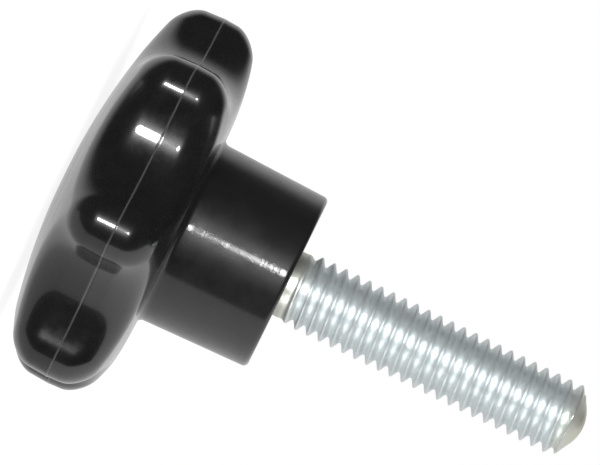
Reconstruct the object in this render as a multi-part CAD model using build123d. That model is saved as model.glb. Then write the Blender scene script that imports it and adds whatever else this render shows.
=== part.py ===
"""Seven-lobed star knob with a steel stud moulded into its hub.

The grip, its lobes and its hub are one black moulding. The stud is one steel screw, whose hexagon head
and plain shank are buried in the moulding and whose threaded end stands out of the hub.

The axis of the knob is Z. The origin is the centre of the hub's seat face, where the stud leaves it.
The stud points up (+Z) and the knob stands on the flat land at the middle of its crown (-Z).
"""

from build123d import *
import math
import os

# Driving dimensions, in millimetres and degrees.
GRIP_DIAMETER = 32.0  # across the tips of the lobes
LOBE_COUNT = 7
LOBE_RADIUS = 2.5  # roundness of a lobe, seen along the axis
FLUTE_DEPTH = 3.25  # from the tip circle down to the bottom of a flute
CROWN_HEIGHT = 5.6  # from the parting plane to the land on the crown
CROWN_RADIUS = 50.0  # of the domed crown
LAND_RADIUS = 3.5  # of the flat land at the middle of the crown
UNDERSIDE_DEPTH = 4.1  # from the parting plane to the flat underside
UNDERSIDE_FALL = 1.5  # how far the underside has fallen away where it meets the rim
UNDERSIDE_LAND = 0.6  # width of the flat underside beyond the foot of the hub
DRAFT = 2.0  # of the lobes and flutes, each side of the parting plane
CROWN_EDGE_RADIUS = 2.1  # round of the edge between crown and lobes
UNDERSIDE_EDGE_RADIUS = 2.1  # round of the edge between underside and lobes
FLASH_HEIGHT = 0.05  # of the moulding flash along the parting plane
FLASH_WIDTH = 0.12

HUB_HEIGHT = 9.05  # from the flat underside to the seat face
HUB_FOOT_DIAMETER = 14.8
HUB_SEAT_DIAMETER = 14.25
HUB_FOOT_RADIUS = 0.5  # fillet between hub and underside
HUB_EDGE_RADIUS = 0.4  # round of the seat face's edge
MOUTH_CLEARANCE = 0.25  # between the stud and the edge of the shallow mouth around it
MOUTH_DEPTH = 0.5

THREAD_DIAMETER = 5.9  # across the crests of an M6 thread as rolled
SHANK_DIAMETER = 5.35  # of the buried plain shank, the thread's pitch diameter
STUD_LENGTH = 25.0  # from the seat face to the tip
POINT_LENGTH = 1.2  # from the last full diameter to the tip
POINT_CROWN = 0.55  # height of the rounded end on the point
POINT_CROWN_DIAMETER = 3.5  # where the rounded end meets the cone
BURIED_LENGTH = 14.4  # from the seat face to the buried end of the screw head
HEX_ACROSS_FLATS = 10.0
HEX_HEIGHT = 4.0

# Sizes that follow from the driving dimensions.
TIP_RADIUS = GRIP_DIAMETER / 2
FLUTE_ROOT_RADIUS = TIP_RADIUS - FLUTE_DEPTH
HALF_PITCH = math.pi / LOBE_COUNT
UNDERSIDE_Z = -HUB_HEIGHT
PARTING_Z = UNDERSIDE_Z - UNDERSIDE_DEPTH
CROWN_Z = PARTING_Z - CROWN_HEIGHT
FOOT_REACH = HUB_FOOT_DIAMETER / 2 + HUB_FOOT_RADIUS
FLAT_RADIUS = FOOT_REACH + UNDERSIDE_LAND
# Neither edge round may use up a slim lobe, nor reach the fillet at the foot of the hub.
LARGEST_ROUND = min(0.85 * LOBE_RADIUS, 0.9 * (FLUTE_ROOT_RADIUS - FOOT_REACH))


def polar(radius, angle):
    """The point at that radius and angle (radians) about the origin of a sketch."""
    return Vector(radius * math.cos(angle), radius * math.sin(angle))


def arc(centre, radius, start, end):
    """An arc about centre between two angles in radians."""
    angles = (start, (start + end) / 2, end)
    return ThreePointArc(*[centre + polar(radius, angle) for angle in angles])


def star_outline(offset=0.0):
    """The outline of the lobes and flutes: tangent arcs, moved outwards by offset."""
    lobe_centre = TIP_RADIUS - LOBE_RADIUS
    across = lobe_centre * math.cos(HALF_PITCH)
    # The flute's radius is the one that touches both lobes and the root circle.
    reach = LOBE_RADIUS**2 - FLUTE_ROOT_RADIUS**2 - lobe_centre**2 + 2 * FLUTE_ROOT_RADIUS * across
    flute_radius = reach / (2 * (FLUTE_ROOT_RADIUS - across - LOBE_RADIUS))
    flute_centre = FLUTE_ROOT_RADIUS + flute_radius
    # Half the angle that a lobe's arc spans, up to where the flute's arc takes over.
    towards = polar(flute_centre, HALF_PITCH) - Vector(lobe_centre, 0)
    lobe_half = math.atan2(towards.Y, towards.X)
    flute_half = lobe_half - HALF_PITCH
    edges = []
    for index in range(LOBE_COUNT):
        tip = 2 * HALF_PITCH * index
        root = tip + HALF_PITCH
        lobe = (polar(lobe_centre, tip), LOBE_RADIUS + offset, tip - lobe_half, tip + lobe_half)
        edges.append(arc(*lobe))
        facing = root + math.pi
        flute = (polar(flute_centre, root), flute_radius - offset, facing + flute_half, facing - flute_half)
        edges.append(arc(*flute))
    return make_face(Wire(edges))


def star_column():
    """The lobes and flutes as a tall column, narrowing by the draft on each side of the parting plane."""
    outline = star_outline()
    below = extrude(outline, amount=CROWN_HEIGHT + 1, dir=(0, 0, -1), taper=DRAFT)
    above = extrude(outline, amount=UNDERSIDE_DEPTH + 1, dir=(0, 0, 1), taper=DRAFT)
    return below + above


def turned_blank():
    """The head before its outline is cut: a domed crown with a land, and an underside that falls away."""
    reach = TIP_RADIUS + 2
    dome_centre = Vector(0, math.sqrt(CROWN_RADIUS**2 - LAND_RADIUS**2) - CROWN_HEIGHT)
    dome_start = math.atan2(-CROWN_HEIGHT - dome_centre.Y, LAND_RADIUS)
    dome_end = -math.acos(reach / CROWN_RADIUS)
    rim = dome_centre + polar(CROWN_RADIUS, dome_end)
    # The underside is an arc that touches the flat around the hub.
    run = TIP_RADIUS - FLAT_RADIUS
    fall_radius = (run**2 + UNDERSIDE_FALL**2) / (2 * UNDERSIDE_FALL)
    fall_centre = Vector(FLAT_RADIUS, UNDERSIDE_DEPTH - fall_radius)
    fall_start = math.acos((reach - FLAT_RADIUS) / fall_radius)
    under_rim = fall_centre + polar(fall_radius, fall_start)
    crown_middle = Vector(0, -CROWN_HEIGHT)
    under_middle = Vector(0, UNDERSIDE_DEPTH)
    profile = [
        Line(crown_middle, Vector(LAND_RADIUS, -CROWN_HEIGHT)),
        arc(dome_centre, CROWN_RADIUS, dome_start, dome_end),
        Line(rim, under_rim),
        arc(fall_centre, fall_radius, fall_start, math.pi / 2),
        Line(Vector(FLAT_RADIUS, UNDERSIDE_DEPTH), under_middle),
        Line(under_middle, crown_middle),
    ]
    return revolve(Plane.XZ * make_face(Wire(profile)), axis=Axis.Z)


def star_edges(shape, above):
    """The edges that follow the star on one side of the parting plane."""
    found = []
    for edge in shape.edges():
        start, end = edge.position_at(0), edge.position_at(1)
        on_side = min(start.Z, end.Z) > 1 if above else max(start.Z, end.Z) < -1
        if on_side and min(math.hypot(start.X, start.Y), math.hypot(end.X, end.Y)) > FLAT_RADIUS:
            found.append(edge)
    return found


def head():
    """The star-shaped head about its parting plane, with its rounded edges and its flash line."""
    shape = turned_blank() & star_column()
    shape = fillet(star_edges(shape, above=False), min(CROWN_EDGE_RADIUS, LARGEST_ROUND))
    shape = fillet(star_edges(shape, above=True), min(UNDERSIDE_EDGE_RADIUS, LARGEST_ROUND))
    flash = extrude(star_outline(FLASH_HEIGHT), amount=FLASH_WIDTH / 2, both=True)
    return shape + flash


def hub():
    """The tapered hub, from inside the head up to the seat face."""
    root_radius = HUB_FOOT_DIAMETER / 2
    seat_radius = HUB_SEAT_DIAMETER / 2
    sunk = UNDERSIDE_Z - UNDERSIDE_DEPTH / 2
    profile = Polyline(
        (0, sunk),
        (root_radius, sunk),
        (root_radius, UNDERSIDE_Z),
        (seat_radius, 0),
        (0, 0),
        close=True,
    )
    return revolve(Plane.XZ * make_face(profile), axis=Axis.Z)


def threaded_end():
    """The stud outside the hub, at the thread's outer diameter, with its coned and rounded point."""
    crest = THREAD_DIAMETER / 2
    rounded = POINT_CROWN_DIAMETER / 2
    cone_top = STUD_LENGTH - POINT_CROWN
    sphere = (rounded**2 + POINT_CROWN**2) / (2 * POINT_CROWN)
    centre = Vector(0, STUD_LENGTH - sphere)
    cone_foot = Vector(crest, STUD_LENGTH - POINT_LENGTH)
    profile = [
        Line(Vector(0, STUD_LENGTH), Vector(0, 0)),
        Line(Vector(0, 0), Vector(crest, 0)),
        Line(Vector(crest, 0), cone_foot),
        Line(cone_foot, Vector(rounded, cone_top)),
        arc(centre, sphere, math.acos(rounded / sphere), math.pi / 2),
    ]
    return revolve(Plane.XZ * make_face(Wire(profile)), axis=Axis.Z)


def stud():
    """The screw: hexagon head, plain shank and threaded end."""
    shank_length = BURIED_LENGTH - HEX_HEIGHT
    upwards = (Align.CENTER, Align.CENTER, Align.MIN)
    hexagon = RegularPolygon(HEX_ACROSS_FLATS / 2, 6, major_radius=False)
    screw_head = Pos(0, 0, -BURIED_LENGTH) * extrude(hexagon, amount=HEX_HEIGHT)
    shank = Pos(0, 0, -shank_length) * Cylinder(SHANK_DIAMETER / 2, shank_length, align=upwards)
    return screw_head + shank + threaded_end()


def mouth():
    """The shallow tapered mouth in the seat face, which keeps the moulding off the end of the thread."""
    rim_radius = max(THREAD_DIAMETER, SHANK_DIAMETER) / 2 + MOUTH_CLEARANCE
    return Pos(0, 0, -MOUTH_DEPTH / 2) * Cone(SHANK_DIAMETER / 2, rim_radius, MOUTH_DEPTH)


def knob_body(insert):
    """The moulding, with the space that the buried part of the stud fills."""
    moulding = Pos(0, 0, PARTING_Z) * head() + hub()
    foot = moulding.edges().filter_by(GeomType.CIRCLE).filter_by_position(Axis.Z, UNDERSIDE_Z, UNDERSIDE_Z)
    moulding = fillet(foot.sort_by(SortBy.RADIUS)[0], HUB_FOOT_RADIUS)
    seat = moulding.edges().filter_by(GeomType.CIRCLE).filter_by_position(Axis.Z, 0, 0)
    moulding = fillet(seat, HUB_EDGE_RADIUS)
    return moulding - mouth() - insert


def main():
    """Builds both pieces and writes one STEP file for each."""
    os.makedirs("parts", exist_ok=True)
    insert = stud()
    export_step(knob_body(insert), "parts/star_grip.step")
    export_step(insert, "parts/threaded_stud.step")


main()
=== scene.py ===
"""Star knob: a glossy black moulded grip on a zinc-plated M6 stud, with its studio.

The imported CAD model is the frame. Lengths in the classes are millimetres and angles are degrees; every
mesh is written in metres, in the CAD's own frame: origin at the centre of the hub's seat face, +Z along
the stud, and the crown of the grip on the floor.
"""

import logging
import math
from collections.abc import Callable, Sequence
from dataclasses import dataclass, field
from enum import Enum

import bmesh
import bpy
from mathutils import Matrix, Vector, noise


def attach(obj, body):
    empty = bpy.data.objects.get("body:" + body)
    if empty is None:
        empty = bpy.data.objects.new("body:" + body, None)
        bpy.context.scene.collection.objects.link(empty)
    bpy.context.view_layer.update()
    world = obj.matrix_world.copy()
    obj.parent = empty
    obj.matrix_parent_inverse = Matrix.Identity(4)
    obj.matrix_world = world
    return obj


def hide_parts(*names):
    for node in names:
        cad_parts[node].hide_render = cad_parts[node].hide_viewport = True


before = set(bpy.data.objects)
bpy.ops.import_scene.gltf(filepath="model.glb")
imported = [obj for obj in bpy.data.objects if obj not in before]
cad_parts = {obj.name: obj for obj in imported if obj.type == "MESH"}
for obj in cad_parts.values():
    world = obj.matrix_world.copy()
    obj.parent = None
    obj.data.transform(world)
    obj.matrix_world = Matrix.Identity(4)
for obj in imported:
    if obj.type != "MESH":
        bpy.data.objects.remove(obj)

LOG = logging.getLogger("star_knob")
MM = 0.001

Place = Callable[[float, float], tuple[float, float]]
Colour = tuple[float, float, float, float]
Tree = bpy.types.NodeTree
Socket = bpy.types.NodeSocket
Mesh = bmesh.types.BMesh
Edges = list[bmesh.types.BMEdge]

# The stud's buried part, which the grip's pocket fits without a gap.
BLANK_RADIUS = 2.675
HEXAGON_Z = (-10.4, -14.4)
HEXAGON_FLATS = 10.0


# ---------------------------------------------------------------------------------------------
# Named options
# ---------------------------------------------------------------------------------------------


class Half(Enum):
    """The two halves of the mould, named by the side of the parting plane they shape."""

    CROWN = -1
    HUB = 1


class Slot(Enum):
    """The record's material slots."""

    MOULDING = "black_moulding"
    STEEL = "zinc_plated_steel"


# ---------------------------------------------------------------------------------------------
# Small helpers
# ---------------------------------------------------------------------------------------------


def linear(code: str) -> Colour:
    """Turns an sRGB colour into the linear one that nodes work in.

    Args:
        code: Six hexadecimal digits after a hash sign.

    Returns:
        Linear red, green and blue, and an alpha of one.
    """
    channels = []
    for start in (1, 3, 5):
        value = int(code[start : start + 2], 16) / 255
        channels.append(value / 12.92 if value <= 0.04045 else ((value + 0.055) / 1.055) ** 2.4)
    return (*channels, 1.0)


def smoothstep(low: float, high: float, value: float) -> float:
    """Rises smoothly from 0 at low to 1 at high.

    Args:
        low: Where the rise starts.
        high: Where the rise ends.
        value: The place asked about.

    Returns:
        A number from 0 to 1.
    """
    share = min(max((value - low) / (high - low), 0.0), 1.0)
    return share * share * (3 - 2 * share)


def quarter_turn(steps: int) -> list[tuple[float, float]]:
    """Points of a quarter circle of radius one, from its start at (0, 0) to its end at (1, 1).

    Args:
        steps: How many chords the quarter circle has.

    Returns:
        For each point after the start, how far it has gone inwards and how far up.
    """
    turns = [math.pi / 2 * (index + 1) / steps for index in range(steps)]
    return [(1 - math.cos(turn), math.sin(turn)) for turn in turns]


def add_node(
    tree: Tree,
    kind: str,
    settings: dict[str, object] | None = None,
    values: dict[str | int, object] | None = None,
    links: dict[str | int, Socket] | None = None,
) -> bpy.types.Node:
    """Adds one node with its settings, its fixed inputs and its links.

    Args:
        tree: The node tree that gets the node.
        kind: Blender's name for the node type.
        settings: Properties of the node itself.
        values: Fixed values of inputs, by name or number.
        links: Outputs of other nodes, by the input that each feeds.

    Returns:
        The new node.
    """
    node = tree.nodes.new(kind)
    for name, value in (settings or {}).items():
        setattr(node, name, value)
    for key, value in (values or {}).items():
        node.inputs[key].default_value = value
    for key, socket in (links or {}).items():
        tree.links.new(socket, node.inputs[key])
    return node


def combine(tree: Tree, operation: str, first: Socket, second: Socket) -> Socket:
    """Puts two numbers through one of Blender's math operations."""
    return add_node(tree, "ShaderNodeMath", {"operation": operation}, links={0: first, 1: second}).outputs[0]


def pull_row(bm: Mesh, rim: Edges, place: Place) -> Edges:
    """Extrudes an open rim by one row of faces and puts the new rim's points in place.

    Args:
        bm: The mesh being built.
        rim: The open edge loop that the row starts from.
        place: Gives a new radius and height from a point's polar angle and present radius.

    Returns:
        The edges of the new rim.
    """
    made = bmesh.ops.extrude_edge_only(bm, edges=rim)["geom"]
    points = {item for item in made if isinstance(item, bmesh.types.BMVert)}
    for point in points:
        angle = math.atan2(point.co.y, point.co.x)
        radius, height = place(angle, math.hypot(point.co.x, point.co.y))
        point.co = (radius * math.cos(angle), radius * math.sin(angle), height)
    edges = [item for item in made if isinstance(item, bmesh.types.BMEdge)]
    return [edge for edge in edges if edge.verts[0] in points and edge.verts[1] in points]


def on_circle(radius: float, height: float) -> Place:
    """Makes a place that puts every point on one circle."""
    return lambda _angle, _radius: (radius, height)


def on_hexagon(flats: float, height: float) -> Place:
    """Makes a place that puts every point on a hexagon that wide across its flats, with corners on X."""
    return lambda angle, _radius: (flats / 2 / math.cos((angle % (math.pi / 3)) - math.pi / 6), height)


def level_rim(bm: Mesh, height: float, within: float) -> Edges:
    """Finds the open edges that lie at one height.

    Args:
        bm: The mesh being built.
        height: The height asked about.
        within: How far from that height their points may be.

    Returns:
        The edges, in the mesh's own order.
    """
    return [
        edge
        for edge in bm.edges
        if edge.is_boundary and all(abs(point.co.z - height) < within for point in edge.verts)
    ]


def soften(bm: Mesh, sharper_than: float) -> None:
    """Smooths a closed mesh, apart from edges that fold by more than an angle.

    Args:
        bm: The mesh to shade.
        sharper_than: Folds of more degrees than this stay crisp.
    """
    bmesh.ops.recalc_face_normals(bm, faces=bm.faces)
    for face in bm.faces:
        face.smooth = True
    for edge in bm.edges:
        edge.smooth = edge.calc_face_angle(0.0) < math.radians(sharper_than)


def finished_piece(
    bm: Mesh,
    name: str,
    node: str,
    material: bpy.types.Material,
) -> bpy.types.Object:
    """Turns a built mesh into a piece that stands for one CAD node.

    Args:
        bm: The finished mesh, in metres in the CAD's frame. It is freed here.
        name: The piece's name.
        node: The CAD node that it replaces.
        material: The material that dresses it.

    Returns:
        The new object, riding on the knob's one body.
    """
    mesh = bpy.data.meshes.new(name)
    bm.to_mesh(mesh)
    bm.free()
    mesh.materials.append(material)
    piece = bpy.data.objects.new(name, mesh)
    bpy.context.scene.collection.objects.link(piece)
    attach(piece, "root")
    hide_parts(node)
    return piece


# ---------------------------------------------------------------------------------------------
# Finishes
# ---------------------------------------------------------------------------------------------


@dataclass(frozen=True)
class PolishedPhenolic:
    """Black phenolic, compression moulded in a polished tool: a deep, wet gloss with a faint haze.

    The hub is the tool's turned core, so it carries fine rings and small glints that break up its one
    long highlight. The lobes are smoother and show clean reflections with slightly rippled edges.
    """

    name: str = "black_phenolic_moulded"
    body: str = "#0e0e0f"
    worn: str = "#141414"
    trimmed: str = "#454544"  # the dull grey of cut flash
    parting_z_mm: float = -13.15
    flow_mm: float = 3.0  # size of the slow ripple that moulding leaves
    ring_mm: float = 0.10  # spacing of the turned rings on the hub; the real ones are finer than can show
    speck_mm: float = 0.16  # size of the small glints on the hub
    hub_edge_mm: float = 8.3  # radius that parts the hub from the lobes
    haze: tuple[float, float] = (0.2, 0.34)  # roughness under the gloss, from clear to cloudy patches
    hub_haze: float = 0.14  # added to that on the hub
    flow_depth_mm: float = 0.006
    fine_depth_mm: float = 0.0045  # of rings and specks together
    ring_share: float = 0.8  # of the rings beside the specks
    lobe_share: float = 0.12  # of rings and specks that the lobes keep

    def material(self) -> bpy.types.Material:
        """Builds the material.

        Returns:
            The material, with all of its patterns on Object coordinates.
        """
        material = bpy.data.materials.new(self.name)
        material.use_nodes = True
        tree = material.node_tree
        tree.nodes.clear()
        place = add_node(tree, "ShaderNodeTexCoord").outputs["Object"]
        on_hub = self._hub_mask(tree, place)
        relief = self._relief(tree, place, on_hub)
        surface = add_node(
            tree,
            "ShaderNodeBsdfPrincipled",
            values={
                "Metallic": 0.0,
                "IOR": 1.6,
                "Coat Weight": 1.0,
                "Coat Roughness": 0.035,
                "Coat IOR": 1.5,
            },
            links={
                "Base Color": self._colour(tree, place),
                "Roughness": self._roughness(tree, place, on_hub),
                "Normal": relief,
                "Coat Normal": relief,
            },
        )
        add_node(tree, "ShaderNodeOutputMaterial", links={"Surface": surface.outputs["BSDF"]})
        return material

    def _hub_mask(self, tree: Tree, place: Socket) -> Socket:
        """Finds the hub by its distance from the axis.

        Args:
            tree: The material's node tree.
            place: Object coordinates.

        Returns:
            A socket that is 1 on the hub and 0 on the lobes.
        """
        flat = add_node(
            tree,
            "ShaderNodeVectorMath",
            {"operation": "MULTIPLY"},
            values={1: (1.0, 1.0, 0.0)},
            links={0: place},
        )
        reach = add_node(tree, "ShaderNodeVectorMath", {"operation": "LENGTH"}, links={0: flat.outputs[0]})
        mask = add_node(
            tree,
            "ShaderNodeMapRange",
            {"interpolation_type": "SMOOTHSTEP"},
            values={1: (self.hub_edge_mm - 0.5) * MM, 2: self.hub_edge_mm * MM, 3: 1.0, 4: 0.0},
            links={0: reach.outputs["Value"]},
        )
        return mask.outputs[0]

    def _colour(self, tree: Tree, place: Socket) -> Socket:
        """Clouds the black very slightly, as the filler in the moulding does.

        Args:
            tree: The material's node tree.
            place: Object coordinates.

        Returns:
            The colour's socket.
        """
        cloud = add_node(
            tree,
            "ShaderNodeTexNoise",
            values={"Scale": 1 / (self.flow_mm * 2 * MM), "Detail": 4.0, "Roughness": 0.6},
            links={"Vector": place},
        )
        mix = add_node(
            tree,
            "ShaderNodeMix",
            {"data_type": "RGBA"},
            values={6: linear(self.body), 7: linear(self.worn)},
            links={0: cloud.outputs["Fac"]},
        )
        trimmed = add_node(
            tree,
            "ShaderNodeMix",
            {"data_type": "RGBA"},
            values={7: linear(self.trimmed)},
            links={0: self._flash_mask(tree, place), 6: mix.outputs[2]},
        )
        return trimmed.outputs[2]

    def _flash_mask(self, tree: Tree, place: Socket) -> Socket:
        """Finds the trimmed flash by its height.

        Args:
            tree: The material's node tree.
            place: Object coordinates.

        Returns:
            A socket that is 1 on the parting plane and 0 a tenth of a millimetre from it.
        """
        height = add_node(tree, "ShaderNodeSeparateXYZ", links={0: place}).outputs["Z"]
        off = add_node(
            tree,
            "ShaderNodeMath",
            {"operation": "ADD"},
            values={1: -self.parting_z_mm * MM},
            links={0: height},
        )
        away = add_node(tree, "ShaderNodeMath", {"operation": "ABSOLUTE"}, links={0: off.outputs[0]})
        mask = add_node(
            tree,
            "ShaderNodeMapRange",
            {"interpolation_type": "SMOOTHSTEP"},
            values={1: 0.04 * MM, 2: 0.1 * MM, 3: 1.0, 4: 0.0},
            links={0: away.outputs[0]},
        )
        return mask.outputs[0]

    def _roughness(self, tree: Tree, place: Socket, on_hub: Socket) -> Socket:
        """Varies the haze under the gloss, a little stronger on the hub.

        Args:
            tree: The material's node tree.
            place: Object coordinates.
            on_hub: The hub's mask.

        Returns:
            The roughness socket.
        """
        patches = add_node(
            tree,
            "ShaderNodeTexNoise",
            values={"Scale": 1 / (self.flow_mm * 0.5 * MM), "Detail": 5.0, "Roughness": 0.65},
            links={"Vector": place},
        )
        base = add_node(
            tree,
            "ShaderNodeMapRange",
            values={1: 0.3, 2: 0.7, 3: self.haze[0], 4: self.haze[1]},
            links={0: patches.outputs["Fac"]},
        )
        rise = add_node(
            tree,
            "ShaderNodeMath",
            {"operation": "MULTIPLY_ADD"},
            values={1: self.hub_haze},
            links={0: on_hub, 2: base.outputs[0]},
        )
        return rise.outputs[0]

    def _relief(self, tree: Tree, place: Socket, on_hub: Socket) -> Socket:
        """Ripples the surface: slow flow everywhere, turned rings and specks on the hub.

        Args:
            tree: The material's node tree.
            place: Object coordinates.
            on_hub: The hub's mask.

        Returns:
            The normal's socket.
        """
        flow = add_node(
            tree,
            "ShaderNodeTexNoise",
            values={"Scale": 1 / (self.flow_mm * MM), "Detail": 2.0, "Roughness": 0.5},
            links={"Vector": place},
        )
        slow = add_node(
            tree,
            "ShaderNodeBump",
            values={"Strength": 1.0, "Distance": self.flow_depth_mm * MM},
            links={"Height": flow.outputs["Fac"]},
        )
        # Rings: the noise is squeezed along the axis, so it runs round the hub in fine lines.
        squeezed = add_node(
            tree,
            "ShaderNodeMapping",
            values={"Scale": (60.0, 60.0, 1 / (self.ring_mm * MM))},
            links={"Vector": place},
        )
        rings = add_node(
            tree,
            "ShaderNodeTexNoise",
            values={"Scale": 1.0, "Detail": 2.0, "Roughness": 0.5},
            links={"Vector": squeezed.outputs[0]},
        )
        specks = add_node(
            tree,
            "ShaderNodeTexNoise",
            values={"Scale": 1 / (self.speck_mm * MM), "Detail": 3.0, "Roughness": 0.7},
            links={"Vector": place},
        )
        both = add_node(
            tree,
            "ShaderNodeMath",
            {"operation": "MULTIPLY_ADD"},
            values={1: self.ring_share},
            links={0: rings.outputs["Fac"], 2: specks.outputs["Fac"]},
        )
        share = add_node(
            tree,
            "ShaderNodeMapRange",
            values={1: 0.0, 2: 1.0, 3: self.lobe_share, 4: 1.0},
            links={0: on_hub},
        )
        fine = add_node(
            tree,
            "ShaderNodeBump",
            values={"Distance": self.fine_depth_mm * MM},
            links={
                "Strength": share.outputs[0],
                "Height": both.outputs[0],
                "Normal": slow.outputs["Normal"],
            },
        )
        return fine.outputs["Normal"]


@dataclass(frozen=True)
class BrightZinc:
    """Steel with a rolled thread, then bright zinc plate: cool silver, softly mirrored, a little uneven.

    The plate is clear blue-white. A faint straw tint gathers at both ends of the thread, and the flanks
    keep fine rolling marks along the thread, which stretch the reflections into short streaks.
    """

    name: str = "zinc_plated_steel_rolled"
    plate: str = "#edf2f3"
    shade: str = "#ccd4d6"
    tint: str = "#cfc9a9"
    grain_mm: float = 0.35  # size of the plate's cloudy patches
    mark_mm: float = 0.06  # spacing of the rolling marks along the axis
    mark_depth_mm: float = 0.004
    haze: tuple[float, float] = (0.32, 0.46)  # roughness, from bright to dull patches
    tip_tint_mm: tuple[float, float] = (22.5, 25.0)  # where the tint starts, and is strongest
    foot_tint_mm: float = 1.6  # how far up from the seat face the tint reaches

    def material(self) -> bpy.types.Material:
        """Builds the material.

        Returns:
            The material, with all of its patterns on Object coordinates.
        """
        material = bpy.data.materials.new(self.name)
        material.use_nodes = True
        tree = material.node_tree
        tree.nodes.clear()
        place = add_node(tree, "ShaderNodeTexCoord").outputs["Object"]
        patches = add_node(
            tree,
            "ShaderNodeTexNoise",
            values={"Scale": 1 / (self.grain_mm * MM), "Detail": 6.0, "Roughness": 0.6},
            links={"Vector": place},
        )
        silver = add_node(
            tree,
            "ShaderNodeMix",
            {"data_type": "RGBA"},
            values={6: linear(self.shade), 7: linear(self.plate)},
            links={0: patches.outputs["Fac"]},
        )
        tinted = add_node(
            tree,
            "ShaderNodeMix",
            {"data_type": "RGBA"},
            values={7: linear(self.tint)},
            links={0: self._tint_mask(tree, place), 6: silver.outputs[2]},
        )
        rough = add_node(
            tree,
            "ShaderNodeMapRange",
            values={1: 0.3, 2: 0.7, 3: self.haze[0], 4: self.haze[1]},
            links={0: patches.outputs["Fac"]},
        )
        marks_at = add_node(
            tree,
            "ShaderNodeMapping",
            values={"Scale": (500.0, 500.0, 1 / (self.mark_mm * MM))},
            links={"Vector": place},
        )
        marks = add_node(
            tree,
            "ShaderNodeTexNoise",
            values={"Scale": 1.0, "Detail": 2.0, "Roughness": 0.5},
            links={"Vector": marks_at.outputs[0]},
        )
        relief = add_node(
            tree,
            "ShaderNodeBump",
            values={"Strength": 0.6, "Distance": self.mark_depth_mm * MM},
            links={"Height": marks.outputs["Fac"]},
        )
        surface = add_node(
            tree,
            "ShaderNodeBsdfPrincipled",
            values={"Metallic": 0.88},
            links={
                "Base Color": tinted.outputs[2],
                "Roughness": rough.outputs[0],
                "Normal": relief.outputs["Normal"],
            },
        )
        add_node(tree, "ShaderNodeOutputMaterial", links={"Surface": surface.outputs["BSDF"]})
        return material

    def _tint_mask(self, tree: Tree, place: Socket) -> Socket:
        """Finds the ends of the threaded length, where the plate has a straw tint.

        Args:
            tree: The material's node tree.
            place: Object coordinates.

        Returns:
            A socket that is 0 along the thread and rises towards its two ends.
        """
        height = add_node(tree, "ShaderNodeSeparateXYZ", links={0: place}).outputs["Z"]
        tip = add_node(
            tree,
            "ShaderNodeMapRange",
            {"interpolation_type": "SMOOTHSTEP"},
            values={1: self.tip_tint_mm[0] * MM, 2: self.tip_tint_mm[1] * MM, 3: 0.0, 4: 0.6},
            links={0: height},
        )
        foot = add_node(
            tree,
            "ShaderNodeMapRange",
            {"interpolation_type": "SMOOTHSTEP"},
            values={1: 0.0, 2: self.foot_tint_mm * MM, 3: 0.45, 4: 0.0},
            links={0: height},
        )
        return combine(tree, "MAXIMUM", tip.outputs[0], foot.outputs[0])


# ---------------------------------------------------------------------------------------------
# Pieces
# ---------------------------------------------------------------------------------------------


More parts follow.
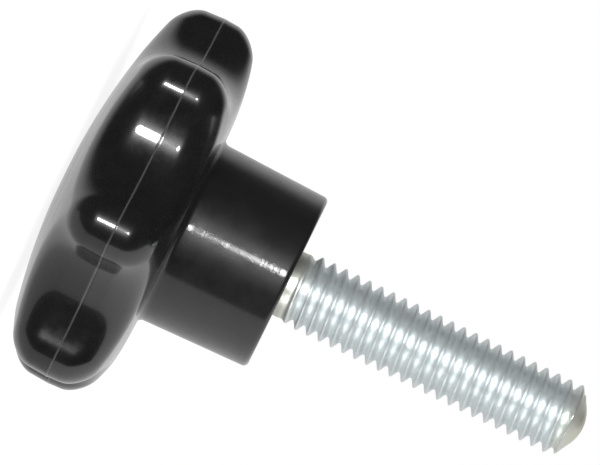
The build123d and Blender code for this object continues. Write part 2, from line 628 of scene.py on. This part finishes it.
@dataclass
class StarGrip:
    """The black moulding: seven lobes, a domed crown, a hub, and the space that holds the stud."""

    lobes: int = 7
    tip_radius: float = 16.0
    lobe_radius: float = 2.5
    root_radius: float = 12.75
    lobe_steps: int = 28
    flute_steps: int = 32
    parting_z: float = -13.15
    crown_height: float = 5.6
    crown_radius: float = 50.0
    land_radius: float = 3.5
    underside_depth: float = 4.1
    underside_fall: float = 1.5
    flat_radius: float = 8.5
    draft: float = 2.0
    crown_edge: tuple[float, float] = (2.1, 3.1)  # inwards and up, before the crown is domed
    underside_edge: tuple[float, float] = (2.1, 2.6)
    edge_steps: int = 16
    crown_rows: int = 18
    underside_rows: int = 12
    flash: float = 0.05  # how far the crest of the flash stands out
    flash_flank: tuple[tuple[float, float], ...] = ((0.008, 0.028), (0.028, 0.05))  # inwards and up
    flash_foot: float = 0.062  # height at which the flash meets the wall
    trim_reach: float = 0.055  # how far from the parting plane the trim cuts
    trim_kept: tuple[float, float, float] = (0.62, 0.6, 0.5)  # mean, then slow and quick unevenness
    trim_scale: tuple[float, float] = (0.55, 2.3)  # of the slow and the quick unevenness
    wall_rows: tuple[float, float] = (0.1, 0.2)
    wall_support: float = 0.25  # of the last row below the rounded edge
    foot_radius: float = 0.5
    foot_inset: float = 0.02  # of the fillet's top, which the hub's taper brings in
    hub_foot: float = 7.4
    hub_seat: float = 7.125
    hub_edge: float = 0.4
    hub_rows: int = 14
    round_steps: int = 8  # of the hub's fillet, and of its rounded edge
    seat_rows: tuple[float, float] = (0.3, 1.6)  # inwards from the rounded edge
    mouth_radius: float = 3.2
    mouth_depth: float = 0.5
    mouth_support: tuple[float, float] = (0.05, 0.1)  # of the rows outside and below the mouth
    bore_radius: float = BLANK_RADIUS
    hexagon_z: tuple[float, float] = HEXAGON_Z
    hexagon_flats: float = HEXAGON_FLATS
    finish: PolishedPhenolic = field(default_factory=PolishedPhenolic)

    def build(self) -> bpy.types.Object:
        """Builds and dresses the moulding.

        Returns:
            The piece that stands for the CAD's star_grip.
        """
        bm = bmesh.new()
        outline = self._outline(bm)
        crown_rim = self._half(bm, outline, Half.CROWN)
        # That half's first inset carries the outline's own edges inwards, so the crest is looked up again.
        hub_rim = self._half(bm, level_rim(bm, 0.0, within=1e-6), Half.HUB)
        self._drape(bm)
        self._crown(bm, crown_rim)
        self._hub_and_pocket(bm, hub_rim)
        bmesh.ops.translate(bm, verts=bm.verts, vec=(0, 0, self.parting_z))
        self._trim_flash(bm)
        bmesh.ops.scale(bm, verts=bm.verts, vec=(MM, MM, MM))
        soften(bm, sharper_than=34)
        return finished_piece(bm, "star_grip_moulding", "star_grip", self.finish.material())

    def _outline(self, bm: Mesh) -> Edges:
        """Draws the star on the parting plane by spinning one point round lobe after flute.

        Args:
            bm: The mesh being built, in millimetres about the parting plane.

        Returns:
            The edges of the closed outline, at the crest of the flash.
        """
        half_pitch = math.pi / self.lobes
        centre = self.tip_radius - self.lobe_radius
        across = centre * math.cos(half_pitch)
        reach = self.lobe_radius**2 - self.root_radius**2 - centre**2 + 2 * self.root_radius * across
        flute_radius = reach / (2 * (self.root_radius - across - self.lobe_radius))
        flute_centre = self.root_radius + flute_radius
        lobe_half = math.atan2(
            flute_centre * math.sin(half_pitch),
            flute_centre * math.cos(half_pitch) - centre,
        )
        flute_half = lobe_half - half_pitch
        reach_out = self.lobe_radius + self.flash
        start = (centre + reach_out * math.cos(lobe_half), -reach_out * math.sin(lobe_half), 0)
        pen = bmesh.ops.create_vert(bm, co=start)["vert"][0]
        for index in range(self.lobes):
            tip = 2 * half_pitch * index
            lobe = (centre * math.cos(tip), centre * math.sin(tip), 0)
            pen = self._sweep(bm, pen, lobe, 2 * lobe_half, self.lobe_steps)
            root = tip + half_pitch
            flute = (flute_centre * math.cos(root), flute_centre * math.sin(root), 0)
            pen = self._sweep(bm, pen, flute, -2 * flute_half, self.flute_steps)
        bmesh.ops.remove_doubles(bm, verts=bm.verts, dist=0.001)
        return list(bm.edges)

    @staticmethod
    def _sweep(
        bm: Mesh,
        pen: bmesh.types.BMVert,
        centre: Sequence[float],
        angle: float,
        steps: int,
    ) -> bmesh.types.BMVert:
        """Carries a point round an arc, leaving edges behind it.

        Args:
            bm: The mesh being built.
            pen: The point to carry.
            centre: The arc's centre.
            angle: How far it turns, in radians, anticlockwise seen from the stud.
            steps: How many edges the arc gets.

        Returns:
            The point at the end of the arc.
        """
        made = bmesh.ops.spin(bm, geom=[pen], cent=centre, axis=(0, 0, 1), angle=angle, steps=steps)
        return next(item for item in made["geom_last"] if isinstance(item, bmesh.types.BMVert))

    def _half(self, bm: Mesh, outline: Edges, half: Half) -> Edges:
        """Raises one half of the head from the outline: flash, drafted wall and rounded edge.

        Args:
            bm: The mesh being built.
            outline: The closed outline on the parting plane.
            half: Which side of the parting plane to build.

        Returns:
            The open rim where the rounded edge meets the crown or the underside.
        """
        inward, rise = self.crown_edge if half is Half.CROWN else self.underside_edge
        height = self.crown_height if half is Half.CROWN else self.underside_depth
        lean = math.tan(math.radians(self.draft))
        wall_top = height - rise
        stops = [*self.flash_flank, (self.flash, self.flash_foot)]
        for level in (*self.wall_rows, wall_top * 0.5, wall_top - self.wall_support, wall_top):
            stops.append((self.flash + (level - self.flash_foot) * lean, level))
        foot = stops[-1][0]
        turned = quarter_turn(self.edge_steps)
        stops += [(foot + inward * across, wall_top + rise * up) for across, up in turned]
        cap = bmesh.ops.contextual_create(bm, geom=outline)["faces"][0]
        cap.normal_update()
        if cap.normal.z * half.value < 0:
            cap.normal_flip()
        done = (0.0, 0.0)
        for stop in stops:
            bmesh.ops.inset_region(
                bm,
                faces=[cap],
                thickness=stop[0] - done[0],
                depth=stop[1] - done[1],
                use_boundary=True,
                use_even_offset=True,
            )
            done = stop
        rim = list(cap.edges)
        bmesh.ops.delete(bm, geom=[cap], context="FACES_ONLY")
        return rim

    def _drape(self, bm: Mesh) -> None:
        """Presses the flat-topped halves down onto the domed crown and the falling underside.

        Args:
            bm: The mesh being built, in millimetres about the parting plane.
        """
        for point in bm.verts:
            radius = math.hypot(point.co.x, point.co.y)
            if point.co.z < 0:
                point.co.z *= -self._crown_z(radius) / self.crown_height
            else:
                point.co.z *= self._underside_z(radius) / self.underside_depth

    def _crown_z(self, radius: float) -> float:
        """Height of the crown's surface about the parting plane, at a radius.

        Args:
            radius: Distance from the axis.

        Returns:
            A negative height: flat over the land, then domed.
        """
        if radius <= self.land_radius:
            return -self.crown_height
        middle = math.sqrt(self.crown_radius**2 - self.land_radius**2) - self.crown_height
        return middle - math.sqrt(self.crown_radius**2 - radius**2)

    def _underside_z(self, radius: float) -> float:
        """Height of the underside's surface about the parting plane, at a radius.

        Args:
            radius: Distance from the axis.

        Returns:
            A positive height: flat round the hub, then falling away towards the rim.
        """
        run = self.tip_radius - self.flat_radius
        fall_radius = (run**2 + self.underside_fall**2) / (2 * self.underside_fall)
        out = max(radius - self.flat_radius, 0.0)
        return self.underside_depth - fall_radius + math.sqrt(fall_radius**2 - out**2)

    def _crown(self, bm: Mesh, rim: Edges) -> None:
        """Carries the crown in from its rounded edge to the land, and closes the land.

        Args:
            bm: The mesh being built.
            rim: The open rim on the crown's side.
        """
        for left in range(self.crown_rows, 0, -1):
            rim = pull_row(bm, rim, self._towards(self.land_radius, left, self._crown_z))
        bmesh.ops.contextual_create(bm, geom=rim)

    @staticmethod
    def _towards(target: float, left: int, height: Callable[[float], float]) -> Place:
        """Makes a step towards a circle that is an even share of what is left.

        Args:
            target: The circle's radius.
            left: How many steps are left, this one included.
            height: Gives the surface's height at a radius.

        Returns:
            The place that pull_row asks for.
        """

        def place(_angle: float, radius: float) -> tuple[float, float]:
            """Moves a point in by its share."""
            moved = radius + (target - radius) / left
            return moved, height(moved)

        return place

    def _hub_profile(self) -> list[tuple[float, float]]:
        """Radius and height, above the seat face, of each ring from the hub's foot to the pocket.

        Returns:
            The rings in order: foot fillet, drafted wall, rounded edge, seat face, mouth and bore.
        """
        foot_z = -self.hub_height()
        rings = []
        for index in range(self.round_steps + 1):
            turn = math.pi / 2 * index / self.round_steps
            out = self.hub_foot - self.foot_inset + self.foot_radius * (1 - math.sin(turn))
            rings.append((out, foot_z + self.foot_radius * (1 - math.cos(turn))))
        wall_z = rings[-1][1]
        edge_z = -self.hub_edge
        for index in range(1, self.hub_rows):
            share = index / self.hub_rows
            height = wall_z + (edge_z - wall_z) * share
            rings.append((self._wall_radius(height), height))
        shoulder = self._wall_radius(edge_z)
        rings.append((shoulder, edge_z))
        for across, up in quarter_turn(self.round_steps):
            rings.append((shoulder - self.hub_edge * across, edge_z + self.hub_edge * up))
        rings += [(shoulder - self.hub_edge - step, 0.0) for step in self.seat_rows]
        outside, below = self.mouth_support
        rings += [(self.mouth_radius + outside, 0.0), (self.mouth_radius, 0.0)]
        bottom = -self.mouth_depth
        rings += [(self.bore_radius, height) for height in (bottom, bottom - below, self.hexagon_z[0])]
        return rings

    def hub_height(self) -> float:
        """Height of the seat face above the flat underside."""
        return -self.parting_z - self.underside_depth

    def _wall_radius(self, height: float) -> float:
        """Radius of the hub's drafted wall at a height about the seat face."""
        return self.hub_seat - (self.hub_foot - self.hub_seat) * height / self.hub_height()

    def _hub_and_pocket(self, bm: Mesh, rim: Edges) -> None:
        """Carries the underside in to the hub, up to the seat face and down into the stud's pocket.

        Args:
            bm: The mesh being built.
            rim: The open rim on the hub's side.
        """
        for left in range(self.underside_rows, 0, -1):
            rim = pull_row(bm, rim, self._towards(self.flat_radius, left, self._underside_z))
        for radius, height in self._hub_profile():
            rim = pull_row(bm, rim, on_circle(radius, height - self.parting_z))
        for height in self.hexagon_z:
            rim = pull_row(bm, rim, on_hexagon(self.hexagon_flats, height - self.parting_z))
        bmesh.ops.contextual_create(bm, geom=rim)

    def _trim_flash(self, bm: Mesh) -> None:
        """Wears the flash down unevenly, as a quick hand trim leaves it.

        Args:
            bm: The mesh being built, in millimetres in the CAD's frame.
        """
        bm.normal_update()
        mean, slow, quick = self.trim_kept
        slow_scale, quick_scale = self.trim_scale
        for point in bm.verts:
            off = abs(point.co.z - self.parting_z)
            if off > self.trim_reach or math.hypot(point.co.x, point.co.y) < self.hub_foot:
                continue
            kept = mean + slow * noise.noise(point.co * slow_scale)
            kept += quick * noise.noise(point.co * quick_scale)
            # The crest's own row loses the most, and the rows beside it less and less.
            crest = 1.0 if off < 0.01 else 0.8 if off < 0.035 else 0.4
            loss = self.flash * crest * (1 - min(max(kept, 0.1), 1.0))
            outward = Vector((point.normal.x, point.normal.y, 0)).normalized()
            point.co -= outward * loss


@dataclass
class ThreadedStud:
    """The steel stud: rolled M6 thread, plain blank at the hub, rounded point and buried hexagon head."""

    pitch: float = 1.0
    crest_radius: float = 2.95
    root_radius: float = 2.337
    flank_degrees: float = 30.0
    root_curve: float = 3.2  # how quickly the rounded root rises on either side
    crest_round: float = 0.022  # how much lower the crest's shoulders are
    blank_radius: float = BLANK_RADIUS
    blank_rows: tuple[float, float] = (-0.5, -3.0)
    length: float = 25.0
    cone: tuple[float, float] = (23.8, 24.45)  # where the point's cone starts and ends
    cone_end_radius: float = 1.75
    tip_cut: float = 0.03  # below the end, where the coil is cut
    tip_flat: tuple[float, float] = (0.15, 0.002)  # its radius, and how far below the end it lies
    run_out: tuple[float, float] = (0.35, 1.75)  # where the thread starts to rise and is whole
    steps: int = 96
    turns_below: int = 2  # the seat face, where the coil starts
    doublings: int = 5  # of one turn, which makes 32
    hexagon_z: tuple[float, float] = HEXAGON_Z
    hexagon_flats: float = HEXAGON_FLATS
    finish: BrightZinc = field(default_factory=BrightZinc)

    def build(self) -> bpy.types.Object:
        """Builds and dresses the stud.

        Returns:
            The piece that stands for the CAD's threaded_stud.
        """
        bm = bmesh.new()
        self._coil(bm)
        self._shape_ends(bm)
        self._cut_and_close(bm)
        bmesh.ops.scale(bm, verts=bm.verts, vec=(MM, MM, MM))
        soften(bm, sharper_than=50)
        return finished_piece(bm, "threaded_stud_m6", "threaded_stud", self.finish.material())

    def _profile(self) -> list[tuple[float, float]]:
        """Height and radius of one pitch of the thread, from root to root.

        Returns:
            Points of the rounded root, the 30 degree flanks and the rolled crest.
        """
        crest_half = self.pitch / 16
        slope = 1 / math.tan(math.radians(self.flank_degrees))
        rise = []
        for height in (-0.5, -0.46, -0.425, -0.385):
            on_flank = self.crest_radius - slope * (-height - crest_half)
            bottom = self.root_radius + (0.5 + height) ** 2 * self.root_curve
            rise.append((height, max(on_flank, bottom)))
        for height in (-0.29, -0.19, -0.1):
            rise.append((height, self.crest_radius - slope * (-height - crest_half)))
        rise.append((-0.05, self.crest_radius - self.crest_round))
        fall = [(-height, radius) for height, radius in reversed(rise)]
        points = [*rise, (0.0, self.crest_radius), *fall]
        return [(height * self.pitch, radius) for height, radius in points]

    def _coil(self, bm: Mesh) -> None:
        """Winds one right-hand turn of the profile, then doubles it until it passes both ends of the stud.

        Args:
            bm: The empty mesh, in millimetres.
        """
        start = -self.turns_below * self.pitch
        points = [
            bmesh.ops.create_vert(bm, co=(radius, 0, start + height))["vert"][0]
            for height, radius in self._profile()
        ]
        edges = [bm.edges.new(pair) for pair in zip(points, points[1:])]
        bmesh.ops.spin(
            bm,
            geom=[*points, *edges],
            cent=(0, 0, 0),
            axis=(0, 0, 1),
            dvec=(0, 0, self.pitch / self.steps),
            angle=2 * math.pi,
            steps=self.steps,
        )
        for doubling in range(self.doublings):
            copied = bmesh.ops.duplicate(bm, geom=[*bm.verts, *bm.edges, *bm.faces])["geom"]
            turn = [item for item in copied if isinstance(item, bmesh.types.BMVert)]
            bmesh.ops.translate(bm, verts=turn, vec=(0, 0, self.pitch * 2**doubling))
        bmesh.ops.remove_doubles(bm, verts=bm.verts, dist=0.0015)

    def _point_radius(self, height: float) -> float:
        """Finds how thick the point may be at a height: a cone with a rounded end.

        Args:
            height: Height above the seat face.

        Returns:
            The largest radius there, never quite zero.
        """
        low, high = self.cone
        if height <= high:
            share = max(height - low, 0.0) / (high - low)
            return self.crest_radius + (self.cone_end_radius - self.crest_radius) * share
        rise = self.length - high
        ball = (self.cone_end_radius**2 + rise**2) / (2 * rise)
        return math.sqrt(max(ball**2 - (height - self.length + ball) ** 2, 0.01))

    def _shape_ends(self, bm: Mesh) -> None:
        """Runs the thread out into the blank at the hub, and points it at the tip.

        Args:
            bm: The mesh being built, in millimetres.
        """
        for point in bm.verts:
            radius = math.hypot(point.co.x, point.co.y)
            whole = smoothstep(*self.run_out, point.co.z)
            wanted = self.blank_radius + (radius - self.blank_radius) * whole
            wanted = min(wanted, self._point_radius(point.co.z))
            point.co.x *= wanted / radius
            point.co.y *= wanted / radius

    def _cut_and_close(self, bm: Mesh) -> None:
        """Cuts the coil to length, closes the tip and carries the blank down into its hexagon head.

        Args:
            bm: The mesh being built, in millimetres.
        """
        tip = self._cut(bm, self.length - self.tip_cut, 1)
        tip_radius, sunk = self.tip_flat
        tip = pull_row(bm, tip, on_circle(tip_radius, self.length - sunk))
        bmesh.ops.contextual_create(bm, geom=tip)
        rim = self._cut(bm, 0.0, -1)
        for height in (*self.blank_rows, self.hexagon_z[0]):
            rim = pull_row(bm, rim, on_circle(self.blank_radius, height))
        for height in self.hexagon_z:
            rim = pull_row(bm, rim, on_hexagon(self.hexagon_flats, height))
        bmesh.ops.contextual_create(bm, geom=rim)

    @staticmethod
    def _cut(bm: Mesh, height: float, side: int) -> Edges:
        """Cuts the mesh square to its axis and throws the far side away.

        Args:
            bm: The mesh being built.
            height: Where to cut.
            side: 1 to throw away what is above, -1 for what is below.

        Returns:
            The open rim that the cut leaves.
        """
        everything = [*bm.verts, *bm.edges, *bm.faces]
        bmesh.ops.bisect_plane(
            bm,
            geom=everything,
            dist=0.0001,
            plane_co=(0, 0, height),
            plane_no=(0, 0, side),
            clear_outer=True,
        )
        return level_rim(bm, height, within=0.001)


# ---------------------------------------------------------------------------------------------
# Studio
# ---------------------------------------------------------------------------------------------


@dataclass(frozen=True)
class SoftLamp:
    """An oval lamp that faces the knob, placed by its angles from the camera's direction."""

    name: str
    aside_degrees: float  # towards aside
    along_degrees: float  # up the stud
    distance: float
    size: tuple[float, float]  # across the stud, and along it
    power: float  # in watts


@dataclass
class Studio:
    """Camera, lights, floor and surroundings.

    Directions are set out from the camera's side of the knob: towards is the horizontal direction from
    the knob to the camera, and aside is the horizontal direction to the camera's lower left, where a
    white card fills the shaded side of the black grip.
    """

    towards_degrees: float = -59.86  # of the camera about the axis, from the lobe on +X
    aim_height: float = -0.86
    aim_aside: float = -3.87
    distance: float = 445.0
    pixels_per_mm: float = 13.15
    picture_width: int = 600
    roll_degrees: float = 26.2
    floor_z: float = -18.75
    card_from_degrees: float = 54.0
    backdrop_from_degrees: float = 108.0
    backdrop_tilt_degrees: float = 14.0  # towards the crown's side
    backdrop: str = "#ffffff"
    room: str = "#181818"
    backdrop_level: float = 0.6  # as reflections see it
    card_levels: tuple[float, float] = (0.4, 0.7)  # from low to high along the stud
    fill: float = 1.0
    floor_paint: str = "#f0f0f0"
    floor_glow: float = 1.12
    floor_glow_share: float = 0.8  # of what the camera sees; the rest takes the knob's shadow
    floor_reach: float = 3000.0
    lamps: tuple[SoftLamp, ...] = (
        SoftLamp("lobe_lamp", -9.0, -8.0, 520.0, (92.0, 104.0), 0.8),
        SoftLamp("hub_lamp", -9.0, 6.0, 520.0, (50.0, 46.0), 0.3),
    )
    steel_lamps: tuple[SoftLamp, ...] = (
        SoftLamp("stud_lamp", -4.0, 0.0, 500.0, (110.0, 120.0), 1.75),
        SoftLamp("stud_side_lamp", 50.0, 0.0, 500.0, (260.0, 200.0), 0.7),
    )

    def __post_init__(self) -> None:
        """Works out the studio's three directions."""
        turn = math.radians(self.towards_degrees)
        self.towards = Vector((math.cos(turn), math.sin(turn), 0))
        self.along = Vector((0, 0, 1))
        self.aside = self.along.cross(self.towards)

    def build(self) -> None:
        """Sets up everything around the knob."""
        self._camera()
        self._surroundings()
        self._floor()
        for lamp in self.lamps:
            self._light(lamp)
        bpy.context.scene.view_settings.view_transform = "Standard"

    def _camera(self) -> None:
        """Sets the camera level with the seat face, square to the axis and rolled."""
        roll = math.radians(self.roll_degrees)
        right = self.along * math.cos(roll) - self.aside * math.sin(roll)
        upward = -self.along * math.sin(roll) - self.aside * math.cos(roll)
        data = bpy.data.cameras.new("camera")
        data.sensor_width = 36.0
        data.lens = self.pixels_per_mm * self.distance * data.sensor_width / self.picture_width
        data.clip_start = 0.01
        data.clip_end = 20.0
        camera = bpy.data.objects.new("camera", data)
        aim = self.along * self.aim_height + self.aside * self.aim_aside
        turned = Matrix((right, upward, self.towards)).transposed().to_4x4()
        camera.matrix_world = Matrix.Translation((aim + self.towards * self.distance) * MM) @ turned
        bpy.context.scene.collection.objects.link(camera)
        bpy.context.scene.camera = camera

    def _direction(self, aside: float, along: float) -> Vector:
        """A direction that many degrees from the camera's: round towards aside, then up the stud."""
        flat = self.towards * math.cos(math.radians(aside)) + self.aside * math.sin(math.radians(aside))
        return flat * math.cos(math.radians(along)) + self.along * math.sin(math.radians(along))

    def _light(self, lamp: SoftLamp) -> bpy.types.Object:
        """Adds one soft lamp.

        Args:
            lamp: What it is and where it stands.

        Returns:
            The lamp's object.
        """
        data = bpy.data.lights.new(lamp.name, "AREA")
        data.shape = "ELLIPSE"
        data.size, data.size_y = (side * MM for side in lamp.size)
        data.energy = lamp.power
        light = bpy.data.objects.new(lamp.name, data)
        outward = self._direction(lamp.aside_degrees, lamp.along_degrees)
        light.rotation_euler = outward.to_track_quat("Z", "Y").to_euler()
        light.location = outward * lamp.distance * MM
        bpy.context.scene.collection.objects.link(light)
        return light

    def light_steel(self, stud: bpy.types.Object) -> None:
        """Adds the lamps that light only the stud, which the other lamps leave much too dark.

        Args:
            stud: The only piece that these lamps light.
        """
        only = bpy.data.collections.new("steel_only")
        only.objects.link(stud)
        for lamp in self.steel_lamps:
            self._light(lamp).light_linking.receiver_collection = only

    def _surroundings(self) -> None:
        """Builds the world: white behind the knob and on its lower side, a dark room in front."""
        world = bpy.data.worlds.new("studio")
        bpy.context.scene.world = world
        world.use_nodes = True
        tree = world.node_tree
        tree.nodes.clear()
        view = add_node(tree, "ShaderNodeTexCoord").outputs["Generated"]
        white = self._white_mask(tree, view)
        seen = add_node(
            tree,
            "ShaderNodeMix",
            {"data_type": "RGBA"},
            values={6: linear(self.room), 7: linear(self.backdrop)},
            links={0: white},
        )
        path = add_node(tree, "ShaderNodeLightPath")
        glossy, through = (path.outputs[name] for name in ("Is Glossy Ray", "Is Transmission Ray"))
        mirrored = combine(tree, "MAXIMUM", glossy, through)
        level = (self.fill, self.fill, self.fill, 1.0)
        lit = add_node(
            tree,
            "ShaderNodeMix",
            {"data_type": "RGBA"},
            values={6: level},
            links={0: mirrored, 7: seen.outputs[2]},
        )
        shown = add_node(
            tree,
            "ShaderNodeMix",
            {"data_type": "RGBA"},
            values={7: linear(self.backdrop)},
            links={0: path.outputs["Is Camera Ray"], 6: lit.outputs[2]},
        )
        background = add_node(
            tree,
            "ShaderNodeBackground",
            values={"Strength": 1.0},
            links={"Color": shown.outputs[2]},
        )
        add_node(tree, "ShaderNodeOutputWorld", links={"Surface": background.outputs[0]})

    def _white_mask(self, tree: Tree, view: Socket) -> Socket:
        """Marks the directions in which reflections see white.

        Args:
            tree: The world's node tree.
            view: The direction that a ray leaves in.

        Returns:
            A socket with the level of the backdrop and of the side card, and 0 in the dark room.
        """
        edge = math.radians(self.card_from_degrees)
        card_normal = self.aside * math.cos(edge) - self.towards * math.sin(edge)
        parts = []  # the card's two edges, its level along the stud, and the backdrop
        back_low = -math.cos(math.radians(self.backdrop_from_degrees))
        tilt = math.radians(self.backdrop_tilt_degrees)
        back_normal = -self.towards * math.cos(tilt) - self.along * math.sin(tilt)
        for normal, low, high, dim, bright in (
            (card_normal, -0.03, 0.05, 0.0, 1.0),
            (self.aside, -0.04, 0.06, 0.0, 1.0),
            (self.along, -0.09, 0.09, *self.card_levels),
            (back_normal, back_low, back_low + 0.42, 0.0, self.backdrop_level),
        ):
            share = add_node(
                tree,
                "ShaderNodeVectorMath",
                {"operation": "DOT_PRODUCT"},
                values={1: tuple(normal)},
                links={0: view},
            )
            ramp = add_node(
                tree,
                "ShaderNodeMapRange",
                {"interpolation_type": "SMOOTHSTEP"},
                values={1: low, 2: high, 3: dim, 4: bright},
                links={0: share.outputs["Value"]},
            )
            parts.append(ramp.outputs[0])
        front_edge, rear_edge, level, backdrop = parts
        card = combine(tree, "MULTIPLY", combine(tree, "MULTIPLY", front_edge, rear_edge), level)
        return combine(tree, "MAXIMUM", card, backdrop)

    def _floor(self) -> None:
        """Lays a plain pale floor under the crown, white to the camera except for the knob's shadow."""
        material = bpy.data.materials.new("pale_floor_paint")
        material.use_nodes = True
        tree = material.node_tree
        tree.nodes.clear()
        paint = add_node(tree, "ShaderNodeBsdfDiffuse", values={"Color": linear(self.floor_paint)})
        white = linear(self.backdrop)
        glow = add_node(tree, "ShaderNodeEmission", values={"Color": white, "Strength": self.floor_glow})
        path = add_node(tree, "ShaderNodeLightPath")
        share = add_node(
            tree,
            "ShaderNodeMath",
            {"operation": "MULTIPLY"},
            values={1: self.floor_glow_share},
            links={0: path.outputs["Is Camera Ray"]},
        )
        mix = add_node(
            tree,
            "ShaderNodeMixShader",
            links={0: share.outputs[0], 1: paint.outputs[0], 2: glow.outputs[0]},
        )
        add_node(tree, "ShaderNodeOutputMaterial", links={"Surface": mix.outputs[0]})
        bm = bmesh.new()
        bmesh.ops.create_grid(bm, x_segments=1, y_segments=1, size=self.floor_reach * MM)
        bmesh.ops.translate(bm, verts=bm.verts, vec=(0, 0, self.floor_z * MM))
        mesh = bpy.data.meshes.new("floor")
        bm.to_mesh(mesh)
        bm.free()
        mesh.materials.append(material)
        floor = bpy.data.objects.new("floor", mesh)
        # The grip hangs over its own floor so closely that a gloss reflection of it would grey the rim.
        floor.visible_glossy = False
        # The lamp that lights the crown's side stands lower than the floor, which must not stop its light.
        floor.visible_shadow = False
        bpy.context.scene.collection.objects.link(floor)


# ---------------------------------------------------------------------------------------------
# Making
# ---------------------------------------------------------------------------------------------


def main() -> None:
    """Builds the studio and both pieces."""
    logging.basicConfig(level=logging.INFO, format="%(name)s: %(message)s")
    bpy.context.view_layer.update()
    studio = Studio()
    studio.build()
    for maker in (StarGrip(), ThreadedStud()):
        piece = maker.build()
        mesh = piece.data
        LOG.info("%s: %d points, %d faces", piece.name, len(mesh.vertices), len(mesh.polygons))
        if isinstance(maker, ThreadedStud):
            studio.light_steel(piece)


if __name__ == "__main__":
    main()
